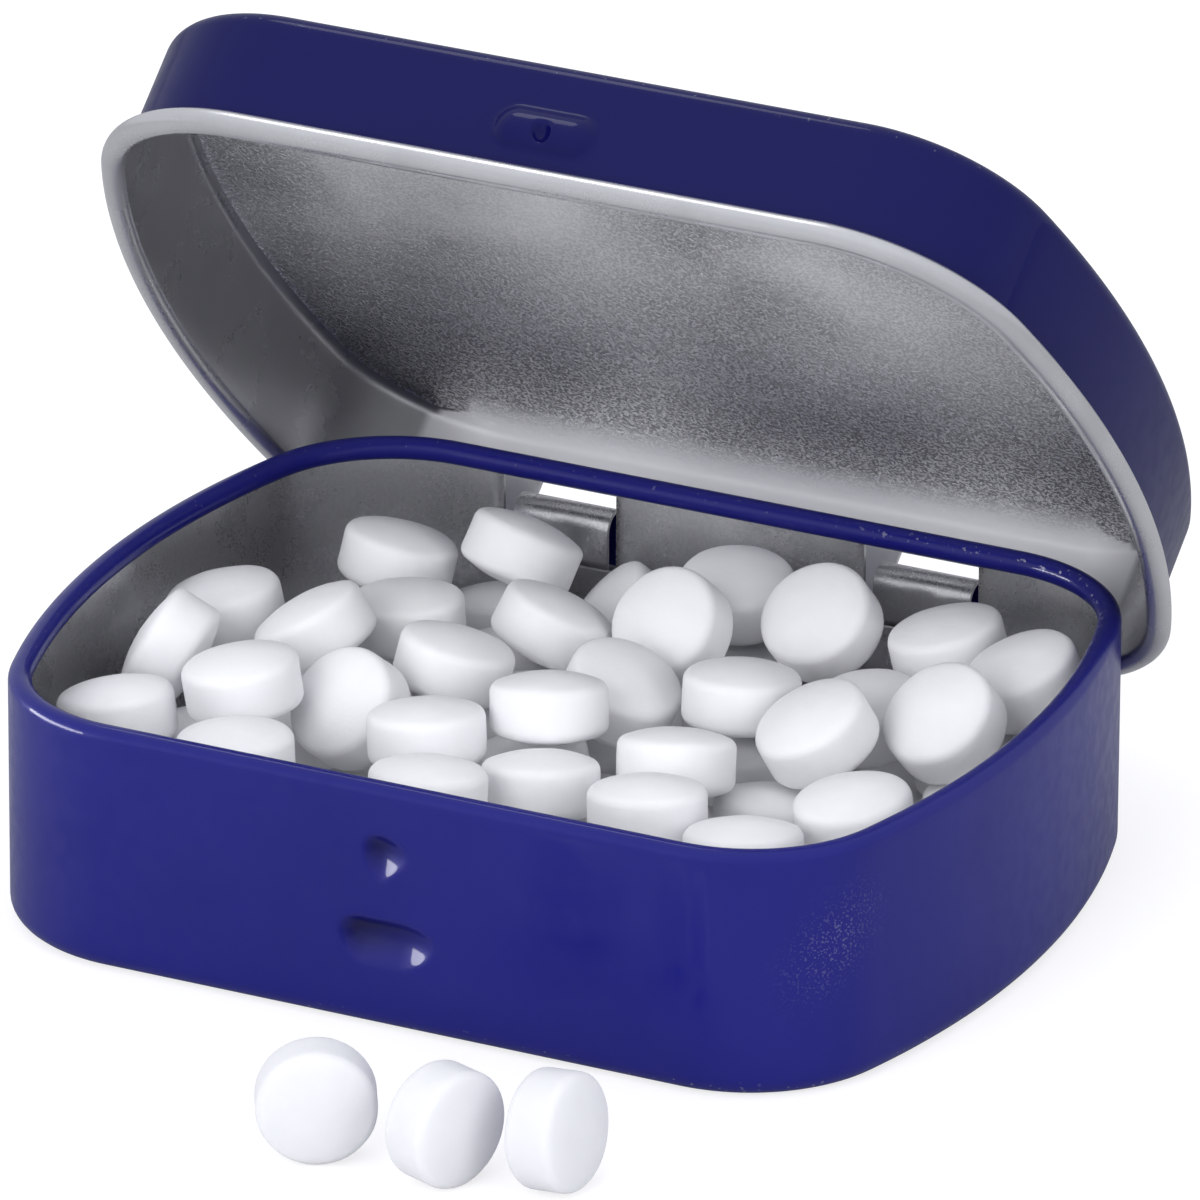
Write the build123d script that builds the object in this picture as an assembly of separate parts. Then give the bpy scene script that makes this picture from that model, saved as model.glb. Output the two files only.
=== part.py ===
from build123d import *
import math
import os

import numpy as np

os.makedirs("parts", exist_ok=True)

# Hinged pocket mint tin, lid standing open, filled with round mints.
# Millimetres. +X is the tin's right, -Y its front, +Z up.
# The origin is the middle of the flat underside of the tin body.

# Sheet and plan of the tin body
sheet = 0.25
tin_width = 60.0
tin_depth = 47.2
corner_radius = 9.7
side_bow_radius = 58.0

# Tin body
body_height = 15.2
bottom_edge_radius = 1.2
body_curl_radius = 0.7
body_curl_sweep = 280.0

# Lid, measured in its closed place
lid_clearance = 0.3
lid_headroom = 0.3
lid_height = 8.95
lid_edge_radius = 1.2
lid_curl_radius = 0.75
lid_curl_sweep = 300.0
lid_open_angle = 51.3

# Hinge hooks and the windows they are cut from
hook_offset = 11.8
hook_width = 6.3
hook_top = 12.0
hook_wrap_angle = 140.0
hinge_play = 0.08
window_width = 7.4
window_foot = 8.6
window_head_strip = 0.3
slot_gap = 0.35

# Pressed marks on the front of the body
round_mark_height = 10.7
round_mark_diameter = 2.9
round_mark_depth = 0.5
oval_mark_height = 5.4
oval_mark_length = 6.1
oval_mark_width = 3.0
oval_mark_depth = 0.6

# Thumb grip and snap pip on the front of the lid
grip_height = 11.0
grip_length = 6.5
grip_width = 2.8
grip_depth = 0.7
snap_radius = 0.65
snap_reach = 0.2

# Mints
mint_diameter = 7.0
mint_thickness = 4.3
mint_band = 2.8
mint_shoulder_radius = 0.7
mint_gap = 0.15
rim_gap = 0.2
mint_row_gap = 0.4

# How the heap of mints is laid
map_step = 0.2
slide_stride = 3
slide_cost = 0.3
lower_slide = 1.6
top_slide = 2.0
lower_shift_share = 0.25
lower_left_out = 2
lower_heading_step = 137.5
lower_tilt_least = 4.0
lower_tilt_range = 8.0
lower_tilt_step = 37.0

# Overrun of every cutting solid
overrun = 1.0

# Least sine squared of a tilt that counts as leaning
upright_limit = 1e-9

# Worked out from the sizes above
half_width = tin_width / 2
half_depth = tin_depth / 2
mint_radius = mint_diameter / 2
mint_dome_rise = (mint_thickness - mint_band) / 2
mint_dome_radius = (mint_radius ** 2 + mint_dome_rise ** 2) / (2 * mint_dome_rise)
wall_keep = 2 * body_curl_radius + rim_gap + mint_radius
lid_top = body_height + lid_headroom + sheet
lid_reach = lid_clearance + sheet
hinge_height = lid_top - lid_height + lid_curl_radius
hinge_reach = lid_clearance + lid_curl_radius
hinge_y = half_depth + hinge_reach
front_straight = corner_radius - half_depth
corner_x = (
    half_width - side_bow_radius
    + math.sqrt((side_bow_radius - corner_radius) ** 2 - front_straight ** 2)
)
side_centre_x = half_width - side_bow_radius
corner_turn = math.degrees(math.atan2(front_straight, corner_x - side_centre_x))

# Places of the mints that lie on top of the heap, from the first laid to the last. Each row
# is: share of the way from the middle to the right wall, share of the way from the middle to
# the rear wall, heading of the tilt in degrees, tilt in degrees.
heap_shares = [
    (0.09, 0.99, 295, 10),
    (-0.68, 0.85, 54, 15),
    (0.67, 0.91, 193, 14),
    (0.58, 0.45, 242, 11),
    (-0.55, 0.52, 146, 5),
    (-0.98, 0.24, 189, 12),
    (-0.64, 0.16, 189, 30),
    (-0.92, -0.24, 190, 62),
    (-0.26, 0.48, 42, 26),
    (-0.22, 0.98, 208, 48),
    (-0.48, 0.91, 61, 28),
    (0.36, 0.84, 258, 40),
    (0.87, 0.29, 251, 40),
    (0.03, 0.64, 257, 50),
    (-0.39, -0.26, 251, 50),
    (-0.33, 0.10, 49, 16),
    (0.02, 0.27, 350, 26),
    (-0.55, -0.84, 145, 6),
    (-0.06, -0.83, 103, 10),
    (0.43, -0.64, 118, 10),
    (-0.89, -0.55, 155, 12),
    (0.87, -0.38, 211, 8),
    (0.67, -0.68, 118, 12),
    (0.63, 0.04, 225, 28),
    (0.88, 0.64, 221, 22),
    (-0.63, -0.39, 182, 10),
    (-0.20, -0.48, 132, 10),
    (0.15, -0.51, 117, 14),
    (0.02, -0.08, 117, 14),
    (0.43, -0.23, 110, 18),
    (0.34, 0.25, 100, 8),
]

# Loose mints standing on their edges in front of the tin: share of the half width,
# share of the half depth, heading of the axis in degrees, tilt of the axis in degrees.
loose_shares = [
    (0.13, -1.70, -62, 90),
    (0.39, -1.68, -20, 90),
    (0.59, -1.60, -5, 84),
]


def plan_edges(grow, height):
    """Edges of the tin's plan, grown outwards and laid at a height, from mid front."""
    front = -half_depth - grow
    bend = corner_radius + grow
    bow = side_bow_radius + grow
    bend_sweep = 90 + corner_turn
    right_side = (side_centre_x, 0)
    left_side = (-side_centre_x, 0)
    edges = [
        Line((0, front), (corner_x, front)),
        CenterArc((corner_x, front_straight), bend, -90, bend_sweep),
        CenterArc(right_side, bow, corner_turn, -2 * corner_turn),
        CenterArc((corner_x, -front_straight), bend, -corner_turn, bend_sweep),
        Line((corner_x, -front), (-corner_x, -front)),
        CenterArc((-corner_x, -front_straight), bend, 90, bend_sweep),
        CenterArc(left_side, bow, 180 + corner_turn, -2 * corner_turn),
        CenterArc((-corner_x, front_straight), bend, 180 - corner_turn, bend_sweep),
        Line((-corner_x, front), (0, front)),
    ]
    return [Pos(0, 0, height) * edge for edge in edges]


def plan_block(grow, low, high):
    """Solid block with the tin's plan, between two heights."""
    return extrude(make_face(plan_edges(grow, low)), amount=high - low)


def rounded_block(grow, low, high, radius, round_top):
    """Plan block with its bottom or its top edge rounded."""
    block = plan_block(grow, low, high)
    ends = block.edges().group_by(Axis.Z)
    return fillet(ends[-1] if round_top else ends[0], radius)


def front_section(grow):
    """Plane across the middle of the front wall: x outwards from the body, y up."""
    return Plane(origin=(0, -half_depth - grow, 0), x_dir=(0, -1, 0), z_dir=(-1, 0, 0))


def curl_ring(centre_reach, height, radius, start, sweep_angle):
    """Rolled rim: a bent strip of sheet carried once round the plan."""
    outer = CenterArc((0, 0), radius, start, sweep_angle)
    inner = CenterArc((0, 0), radius - sheet, start, sweep_angle)
    ends = [Line(outer @ 0, inner @ 0), Line(outer @ 1, inner @ 1)]
    strip = make_face([outer, inner] + ends)
    section = front_section(centre_reach) * Pos(0, height) * strip
    path = Wire(plan_edges(centre_reach, height))
    return sweep(section, path=path)


def capsule(radius, half_length):
    """Round-ended bar along X, centred on the origin."""
    if half_length <= 0:
        return Sphere(radius)
    bar = Rot(0, 90, 0) * Cylinder(radius, 2 * half_length)
    return bar + Pos(half_length, 0, 0) * Sphere(radius) + Pos(-half_length, 0, 0) * Sphere(radius)


def mark_radius(width, depth):
    """Radius of the round tool that leaves a mark this wide and this deep."""
    return ((width / 2) ** 2 + depth ** 2) / (2 * depth)


def press_in(wall, length, width, depth, height):
    """Press a round-ended mark into the front wall of the body."""
    radius = mark_radius(width, depth)
    place = Pos(0, -half_depth - radius + depth, height)
    half_length = (length - width) / 2
    behind = Pos(0, radius + overrun - half_depth, height) * Box(
        tin_width, 2 * (radius + overrun), 2 * (radius + overrun)
    )
    swell = (place * capsule(radius + sheet, half_length)) & behind
    return wall + swell - place * capsule(radius, half_length)


def body_windows():
    """Openings under the rear rim that the hinge hooks were cut from."""
    window_top = body_height - 2 * body_curl_radius - window_head_strip
    window = Pos(0, half_depth, (window_foot + window_top) / 2) * Box(
        window_width, 2 * overrun, window_top - window_foot
    )
    return [Pos(side * hook_offset, 0, 0) * window for side in (-1, 1)]


def arch_radius():
    """Middle radius of the arch at the top of a hook."""
    outer_leg = hinge_reach + lid_curl_radius + hinge_play + sheet / 2
    return (outer_leg + sheet / 2) / 2


def hook_strip(centre, radius, start, sweep_angle):
    """Bent strip of sheet in the hook's section."""
    outer = CenterArc(centre, radius + sheet / 2, start, sweep_angle)
    inner = CenterArc(centre, radius - sheet / 2, start, sweep_angle)
    return make_face([outer, inner, Line(outer @ 0, inner @ 0), Line(outer @ 1, inner @ 1)])


def hinge_hook():
    """Tongue that rises in the window, arches over and wraps under the lid's rolled rim."""
    arch = arch_radius()
    arch_height = hook_top - arch - sheet / 2
    outer_leg = 2 * arch - sheet / 2
    wrap = lid_curl_radius + hinge_play + sheet / 2
    inner_strip = Pos(-sheet / 2, (window_foot + arch_height) / 2) * Rectangle(
        sheet, arch_height - window_foot
    )
    outer_strip = Pos(outer_leg, (hinge_height + arch_height) / 2) * Rectangle(
        sheet, arch_height - hinge_height
    )
    top = hook_strip((arch - sheet / 2, arch_height), arch, 0, 180)
    foot = hook_strip((hinge_reach, hinge_height), wrap, 0, -hook_wrap_angle)
    profile = inner_strip + top + outer_strip + foot
    rear = Plane(origin=(0, half_depth, 0), x_dir=(0, 1, 0), z_dir=(1, 0, 0))
    return extrude(rear * profile, amount=hook_width / 2, both=True)


def tin_body():
    """Lower pressing: tray, inward rolled rim, front marks and hinge hooks."""
    wall_top = body_height - body_curl_radius
    shell = rounded_block(0, 0, wall_top, bottom_edge_radius, False)
    hollow = rounded_block(-sheet, sheet, wall_top, bottom_edge_radius - sheet, False)
    shell = shell - hollow
    shell = press_in(
        shell, round_mark_diameter, round_mark_diameter, round_mark_depth, round_mark_height
    )
    shell = press_in(shell, oval_mark_length, oval_mark_width, oval_mark_depth, oval_mark_height)
    for window in body_windows():
        shell = shell - window
    shell = shell + curl_ring(-body_curl_radius, wall_top, body_curl_radius, 0, body_curl_sweep)
    hook = hinge_hook()
    for side in (-1, 1):
        shell = shell + Pos(side * hook_offset, 0, 0) * hook
    return shell


def lid_slots():
    """Openings in the lid's rear skirt that the hinge hooks reach through."""
    arch = arch_radius()
    arch_out = arch - sheet / 2 - hinge_reach
    arch_up = hook_top - arch - sheet / 2 - hinge_height
    swing = math.hypot(arch_out, arch_up) + arch + sheet / 2 + slot_gap
    width = hook_width + 2 * slot_gap
    slot = Pos(0, half_depth + lid_clearance + sheet / 2, hinge_height + swing / 2) * Box(
        width, 2 * sheet, swing
    )
    return [Pos(side * hook_offset, 0, 0) * slot for side in (-1, 1)]


def press_out_grip(wall):
    """Press the thumb grip outwards from the lid's front skirt."""
    radius = mark_radius(grip_width, grip_depth)
    place = Pos(0, -half_depth - lid_reach - grip_depth + radius, grip_height)
    half_length = (grip_length - grip_width) / 2
    ahead = Pos(0, -half_depth - lid_clearance - radius, grip_height) * Box(
        tin_width, 2 * radius, 2 * radius
    )
    swell = (place * capsule(radius, half_length)) & ahead
    return wall + swell - place * capsule(radius - sheet, half_length)


def press_in_snap(wall):
    """Press the small snap pip inwards through the thumb grip."""
    middle = -half_depth - lid_clearance + snap_reach - snap_radius - sheet
    pip = Pos(0, middle, round_mark_height) * Sphere(snap_radius + sheet)
    outside = -half_depth - lid_reach - grip_depth
    behind = Pos(0, outside + tin_depth / 2 + sheet, round_mark_height) * Box(
        tin_width, tin_depth, 2 * (snap_radius + sheet)
    )
    return wall + (pip & behind) - Pos(0, middle, round_mark_height) * Sphere(snap_radius)


def closed_lid():
    """Upper pressing in its closed place: panel, skirt, outward rolled rim, thumb grip."""
    shell = rounded_block(lid_reach, hinge_height, lid_top, lid_edge_radius, True)
    hollow = rounded_block(
        lid_clearance, hinge_height, lid_top - sheet, lid_edge_radius - sheet, True
    )
    shell = shell - hollow
    shell = press_in_snap(press_out_grip(shell))
    for slot in lid_slots():
        shell = shell - slot
    return shell + curl_ring(hinge_reach, hinge_height, lid_curl_radius, 180, lid_curl_sweep)


def lid():
    """The lid, turned about its rear rolled rim to the angle it stands open at."""
    to_hinge = Pos(0, hinge_y, hinge_height)
    from_hinge = Pos(0, -hinge_y, -hinge_height)
    return to_hinge * Rot(-lid_open_angle, 0, 0) * from_hinge * closed_lid()


def mint():
    """One mint, centred on the origin with its axis along Z."""
    band = mint_band / 2
    dome = RadiusArc((0, mint_thickness / 2), (mint_radius, band), mint_dome_radius)
    side = Line((mint_radius, band), (mint_radius, 0))
    half = make_face([dome, side, Line((mint_radius, 0), (0, 0)), Line((0, 0), dome @ 0)])
    corner = half.vertices().sort_by_distance((mint_radius, band))[0]
    half = fillet(corner, mint_shoulder_radius)
    upper = revolve(Plane.XZ * half, Axis.Z, 360)
    return upper + mirror(upper, about=Plane.XY)


def axis_of(heading, tilt):
    """Unit vector of a mint's axis: tilted from upright towards a heading."""
    lean = math.sin(math.radians(tilt))
    return (
        lean * math.cos(math.radians(heading)),
        lean * math.sin(math.radians(heading)),
        math.cos(math.radians(tilt)),
    )


def upright_span(dx, dy, axis, gap):
    """Lowest and highest point of a tilted mint, grown by a gap, above each place of a map."""
    ax, ay, az = axis
    across = dx * ax + dy * ay
    rest = dx * dx + dy * dy - across * across - (mint_radius + gap) ** 2
    square = 1 - az * az
    low = np.where(rest > 0, np.inf, -np.inf)
    high = -low
    if square > upright_limit:
        half = -across * az
        root = half * half - square * rest
        wide = np.sqrt(np.maximum(root, 0))
        low = np.where(root < 0, np.inf, (-half - wide) / square)
        high = np.where(root < 0, -np.inf, (-half + wide) / square)
    offset = mint_dome_radius - mint_thickness / 2
    for side in (-1, 1):
        cx, cy, cz = (side * offset * part for part in axis)
        root = (mint_dome_radius + gap) ** 2 - (dx - cx) ** 2 - (dy - cy) ** 2
        wide = np.sqrt(np.maximum(root, 0))
        low = np.where(root < 0, np.inf, np.maximum(low, cz - wide))
        high = np.where(root < 0, -np.inf, np.minimum(high, cz + wide))
    return low, high


def inside_heap(x, y):
    """True where a mint's middle keeps the whole mint clear of the rolled rim."""
    bow = side_bow_radius - wall_keep
    bend = max(corner_radius - wall_keep, 0)
    if abs(y) > half_depth - wall_keep or math.hypot(abs(x) - side_centre_x, y) > bow:
        return False
    past_x = abs(x) - corner_x
    past_y = abs(y) + front_straight
    return past_x <= 0 or past_y <= 0 or math.hypot(past_x, past_y) <= bend + map_step


class Heap:
    """Mints laid one after another on a height map of what lies below them."""

    def __init__(self, floor):
        self.reach = math.ceil(mint_diameter / map_step)
        self.columns = math.ceil(half_width / map_step) + self.reach
        self.rows = math.ceil(half_depth / map_step) + self.reach
        self.top = np.full((2 * self.rows + 1, 2 * self.columns + 1), floor)
        span = np.arange(-self.reach, self.reach + 1) * map_step
        self.dx, self.dy = np.meshgrid(span, span)

    def window(self, column, row):
        """Part of the map around one cell, as wide as a mint reaches."""
        first_row = self.rows + row - self.reach
        first_column = self.columns + column - self.reach
        size = 2 * self.reach + 1
        return self.top[first_row : first_row + size, first_column : first_column + size]

    def rest_height(self, column, row, low, covered):
        """Height at which a mint's middle comes to rest over one cell."""
        return np.max((self.window(column, row) - low)[covered])

    def lowest_rest(self, start, low, covered, slide):
        """Cell near the start where a mint rests lowest, with a cost for sliding far."""
        best = (math.inf, start)
        steps = math.floor(slide / (map_step * slide_stride))
        for row in range(-steps, steps + 1):
            for column in range(-steps, steps + 1):
                away = math.hypot(row, column)
                cell = (start[0] + column * slide_stride, start[1] + row * slide_stride)
                if away > steps or not inside_heap(cell[0] * map_step, cell[1] * map_step):
                    continue
                cost = self.rest_height(*cell, low, covered)
                cost = cost + slide_cost * away * slide_stride * map_step
                best = min(best, (cost, cell))
        return best[1]

    def lay(self, x, y, heading, tilt, slide):
        """Lower one mint, let it slide to the lowest rest nearby and return its location."""
        axis = axis_of(heading, tilt)
        low, high = upright_span(self.dx, self.dy, axis, mint_gap)
        covered = low < high
        start = (round(x / map_step), round(y / map_step))
        column, row = self.lowest_rest(start, low, covered, slide)
        height = self.rest_height(column, row, low, covered)
        bare_low, bare_high = upright_span(self.dx, self.dy, axis, 0)
        bare = bare_low < bare_high
        spot = self.window(column, row)
        spot[bare] = np.maximum(spot[bare], (height + bare_high)[bare])
        place = Pos(column * map_step, row * map_step, height)
        return place * Rot(0, 0, heading) * Rot(0, tilt, 0)


def layer_places(shift_x_share, shift_y_share):
    """Places of one flat layer, in rows set half a mint apart, inside the rolled rim."""
    pitch = mint_diameter + mint_row_gap
    row_pitch = pitch * math.sqrt(3) / 2
    rows = math.ceil(half_depth / row_pitch)
    columns = math.ceil(half_width / pitch)
    places = []
    for row in range(-rows, rows + 1):
        for column in range(-columns, columns + 1):
            x = (column + (row % 2) / 2 + shift_x_share) * pitch
            y = (row + shift_y_share) * row_pitch
            if inside_heap(x, y):
                places.append((x, y))
    return places


def lower_turns(count):
    """Heading and tilt of each mint of the lower heap, spread evenly without repeating."""
    return [
        (
            number * lower_heading_step % 360,
            lower_tilt_least + number * lower_tilt_step % lower_tilt_range,
        )
        for number in range(1, count + 1)
    ]


def all_mints():
    """Nodes of the mints: floor layer and lower heap as groups, then the mints on top."""
    one = mint()
    heap = Heap(sheet - mint_gap)
    floor_places = layer_places(0, 1 / 2)
    floor_layer = [heap.lay(x, y, 0, 0, 0) * one for x, y in floor_places]
    lower_heap = []
    lower_places = layer_places(lower_shift_share, 1 / 2 + 1 / 3)
    turns = lower_turns(len(lower_places))
    for number, ((x, y), turn) in enumerate(zip(lower_places, turns), start=1):
        if number % lower_left_out != 0:
            lower_heap.append(heap.lay(x, y, *turn, lower_slide) * one)
    nodes = {
        "mints_floor_layer": Compound(children=floor_layer),
        "mints_lower_heap": Compound(children=lower_heap),
    }
    for number, (x_share, y_share, heading, tilt) in enumerate(heap_shares, start=1):
        x = x_share * (half_width - wall_keep)
        y = y_share * (half_depth - wall_keep)
        nodes[f"mint_{number:02d}"] = heap.lay(x, y, heading, tilt, top_slide) * one
    return nodes


def loose_mints():
    """Mints taken out and stood on their edges in front of the tin."""
    one = mint()
    nodes = {}
    for number, (x_share, y_share, heading, tilt) in enumerate(loose_shares, start=1):
        turned = Rot(0, 0, heading) * Rot(0, tilt, 0) * one
        lift = -turned.bounding_box().min.Z
        nodes[f"loose_mint_{number}"] = (
            Pos(x_share * half_width, y_share * half_depth, lift) * turned
        )
    return nodes


def main():
    """Build every node and write it to its own file."""
    nodes = {"tin_body": tin_body(), "lid": lid()}
    nodes.update(all_mints())
    nodes.update(loose_mints())
    for name, shape in nodes.items():
        export_step(shape, f"parts/{name}.step")


main()
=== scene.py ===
"""Pocket mint tin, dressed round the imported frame: two pressings, hinge hooks and mints."""
import logging
import math
from dataclasses import dataclass, field
from enum import Enum
from typing import Callable, Iterable, Sequence

import bmesh
import bpy
import numpy as np
from mathutils import Matrix, Vector


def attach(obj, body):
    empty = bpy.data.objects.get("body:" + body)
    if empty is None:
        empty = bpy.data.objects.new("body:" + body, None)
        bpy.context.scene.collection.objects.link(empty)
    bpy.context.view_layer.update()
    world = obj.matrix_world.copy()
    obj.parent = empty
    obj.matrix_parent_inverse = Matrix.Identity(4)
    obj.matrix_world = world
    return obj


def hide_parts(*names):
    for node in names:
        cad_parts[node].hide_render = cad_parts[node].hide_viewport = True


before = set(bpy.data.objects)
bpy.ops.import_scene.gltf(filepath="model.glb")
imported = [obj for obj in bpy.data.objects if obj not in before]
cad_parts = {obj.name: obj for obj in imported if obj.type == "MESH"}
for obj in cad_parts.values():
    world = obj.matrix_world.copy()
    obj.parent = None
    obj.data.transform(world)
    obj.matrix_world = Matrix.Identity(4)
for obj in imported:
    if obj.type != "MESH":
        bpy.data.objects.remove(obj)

logging.basicConfig(level=logging.INFO, format="%(message)s")
log = logging.getLogger("mint_tin")

Colour = tuple[float, float, float, float]
Facing = tuple[float, float, float, float]  # place and unit normal
Spot = tuple[float, float, float]
Pair = tuple[float, float]
Socket = bpy.types.NodeSocket
Node = bpy.types.Node
Material = bpy.types.Material
Piece = bpy.types.Object

MM = 0.001
CURL_STEPS = 26
UPRIGHT = 0.99
FACING_FRONT = -0.999
PRESSED_REACH = 6.0
HOOK_OFFSET = 11.8
WALL_STEP = 0.8
PRESS_BODY = "tin"
LID_BODY = "lid"
MIX_SOCKETS = {"RGBA": (6, 7, 2), "FLOAT": (2, 3, 0)}


class Face(Enum):
    """Side of the drawn sheet that a face belongs to, also its material slot."""

    OUTSIDE = 0
    INSIDE = 1
    CUT_EDGE = 2
    PANEL = 3
    CURL = 4


class Slot(Enum):
    """Names of the material slots."""

    BLUE_LACQUER = "blue_lacquer"
    BARE_TIN = "bare_tin"
    MINT = "mint"


def grey(level: float, blue: float = 0.0) -> Colour:
    """Grey with a little more blue."""
    return level, level, level + blue, 1.0


def add_object(name: str, data: bpy.types.ID, finishes: Sequence[Material] = ()) -> Piece:
    """Link a mesh, lamp or camera to the scene as a new object.

    Args:
        name: Name of the object.
        data: Its mesh, lamp or camera.
        finishes: Materials of the mesh, in the order of Face.

    Returns:
        The object.
    """
    made = bpy.data.objects.new(name, data)
    bpy.context.scene.collection.objects.link(made)
    for finish in finishes:
        data.materials.append(finish)
    return made


def close_mesh(name: str, work: bmesh.types.BMesh, turn: Matrix | None = None) -> bpy.types.Mesh:
    """Turn the faces outwards, make the mesh and free the working copy.

    Args:
        name: Name of the mesh.
        work: The working copy.
        turn: Turn of the whole, if any.

    Returns:
        The mesh.
    """
    bmesh.ops.recalc_face_normals(work, faces=work.faces)
    if turn is not None:
        work.transform(turn)
    mesh = bpy.data.meshes.new(name)
    work.to_mesh(mesh)
    work.free()
    return mesh


# Shader building blocks


@dataclass
class NodeGraph:
    """Thin helper round a node tree that keeps node making to one line each."""

    tree: bpy.types.NodeTree

    def feed(self, entry: Socket, value: object) -> None:
        """Link a socket to an input, or set the input to a value.

        Args:
            entry: The input.
            value: Socket, number, text or colour.
        """
        if isinstance(value, Socket):
            self.tree.links.new(value, entry)
        else:
            entry.default_value = value

    def fill(self, node: Node, **values: object) -> Node:
        """Give a node its values.

        Args:
            node: The node.
            values: Its attributes and, with a capital letter and with _ for a space, its inputs.

        Returns:
            The same node.
        """
        for key, value in values.items():
            if key[0].isupper():
                self.feed(node.inputs[key.replace("_", " ")], value)
            else:
                setattr(node, key, value)
        return node

    def node(self, kind: str, *entries: object, **values: object) -> Node:
        """Add one node.

        Args:
            kind: Type name of the node.
            entries: Sockets or values for its first inputs.
            values: Other values, as fill takes them.

        Returns:
            The new node.
        """
        made = self.fill(self.tree.nodes.new(kind), **values)
        for entry, value in zip(made.inputs, entries):
            self.feed(entry, value)
        return made

    def math(self, operation: str, first: object, second: object, clamp: bool = False) -> Socket:
        """Add a math node and return its result."""
        return self.node("ShaderNodeMath", first, second, operation=operation, use_clamp=clamp).outputs[0]

    def times(self, first: object, second: object, clamp: bool = False) -> Socket:
        """Multiply two values."""
        return self.math("MULTIPLY", first, second, clamp)

    def plus(self, first: object, second: object) -> Socket:
        """Add two values."""
        return self.math("ADD", first, second)

    def minus(self, first: object, second: object, clamp: bool = False) -> Socket:
        """Take the second value from the first."""
        return self.math("SUBTRACT", first, second, clamp)

    def ramp(self, value: Socket, low: float, high: float, start: float = 0.0, end: float = 1.0) -> Socket:
        """Stretch a value from one range to another with soft ends.

        Args:
            value: Socket to read.
            low: Value that gives start.
            high: Value that gives end.
            start: Result at low.
            end: Result at high.

        Returns:
            The result's socket.
        """
        made = self.node("ShaderNodeMapRange", interpolation_type="SMOOTHSTEP", clamp=True, Value=value)
        return self.fill(made, From_Min=low, From_Max=high, To_Min=start, To_Max=end).outputs["Result"]

    def mix(self, share: object, first: object, second: object, kind: str = "RGBA") -> Socket:
        """Mix two colours or numbers.

        Args:
            share: Socket or number, the share of the second one.
            first: Socket, colour or number.
            second: Socket, colour or number.
            kind: RGBA for colours, FLOAT for numbers.

        Returns:
            The result's socket.
        """
        made = self.node("ShaderNodeMix", share, data_type=kind)
        first_place, second_place, result = MIX_SOCKETS[kind]
        self.feed(made.inputs[first_place], first)
        self.feed(made.inputs[second_place], second)
        return made.outputs[result]

    def noise(self, place: Socket, scale: object, detail: float) -> Socket:
        """Add a noise of a scale in cells per metre and return its value."""
        return self.node("ShaderNodeTexNoise", Vector=place, Scale=scale, Detail=detail).outputs["Fac"]

    def attribute(self, name: str) -> Socket:
        """Read a number that the mesh carries."""
        return self.node("ShaderNodeAttribute", attribute_name=name).outputs["Fac"]

    def bump(self, height: Socket, strength: float, distance: float) -> Socket:
        """Turn a height into a normal."""
        made = self.node("ShaderNodeBump", Strength=strength, Distance=distance, Height=height)
        return made.outputs["Normal"]


def shader_group(
    name: str, inputs: dict[str, float], outputs: Sequence[str]
) -> tuple[NodeGraph, dict[str, Socket]]:
    """Make an empty shader node group with a place and float sockets.

    Args:
        name: Name of the group.
        inputs: Input names with their default values.
        outputs: Output names.

    Returns:
        The group's graph, and its inputs by name.
    """
    group = bpy.data.node_groups.new(name, "ShaderNodeTree")
    group.interface.new_socket("Place", in_out="INPUT", socket_type="NodeSocketVector")
    for key, value in inputs.items():
        group.interface.new_socket(key, in_out="INPUT", socket_type="NodeSocketFloat").default_value = value
    for key in outputs:
        group.interface.new_socket(key, in_out="OUTPUT", socket_type="NodeSocketFloat")
    graph = NodeGraph(group)
    return graph, {socket.name: socket for socket in graph.node("NodeGroupInput").outputs if socket.name}


def make_grain_group() -> bpy.types.NodeTree:
    """Clouds and fine grain of a surface, for colour, roughness and bump.

    Returns:
        The node group, with outputs Clouds, Grain and Height.
    """
    inputs = {"Cloud Scale": 120.0, "Grain Scale": 4000.0, "Grain Share": 0.5}
    graph, given = shader_group("cloud_and_grain", inputs, ("Clouds", "Grain", "Height"))
    clouds = graph.ramp(graph.noise(given["Place"], given["Cloud Scale"], 4.0), 0.3, 0.7)
    grain = graph.noise(given["Place"], given["Grain Scale"], 2.0)
    height = graph.plus(clouds, graph.times(grain, given["Grain Share"]))
    graph.node("NodeGroupOutput", Clouds=clouds, Grain=grain, Height=height)
    return graph.tree


def make_wear_group() -> bpy.types.NodeTree:
    """Chips along edges and stray specks, as masks.

    Returns:
        The node group, with outputs Chips and Specks.
    """
    patch_scale, patch_lift, chip_hardness, speck_hardness = 70.0, 0.35, 14.0, 30.0
    inputs = {
        "Edge": 0.0,
        "Chip Scale": 3200.0,
        "Chip Level": 0.70,
        "Speck Scale": 6500.0,
        "Speck Level": 0.60,
    }
    graph, given = shader_group("edge_wear", inputs, ("Chips", "Specks"))
    patches = graph.times(given["Edge"], graph.noise(given["Place"], patch_scale, 1.0))
    flakes = graph.noise(given["Place"], given["Chip Scale"], 3.0)
    flaked = graph.plus(flakes, graph.times(patches, patch_lift))
    over = graph.times(graph.minus(flaked, given["Chip Level"]), chip_hardness, True)
    specks = graph.minus(graph.noise(given["Place"], given["Speck Scale"], 1.0), given["Speck Level"])
    chips = graph.times(over, given["Edge"], True)
    graph.node("NodeGroupOutput", Chips=chips, Specks=graph.times(specks, speck_hardness, True))
    return graph.tree


@dataclass
class Effects:
    """Shader groups that more than one finish uses, built once."""

    grain: bpy.types.NodeTree = field(default_factory=make_grain_group)
    wear: bpy.types.NodeTree = field(default_factory=make_wear_group)


# Finishes


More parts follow.
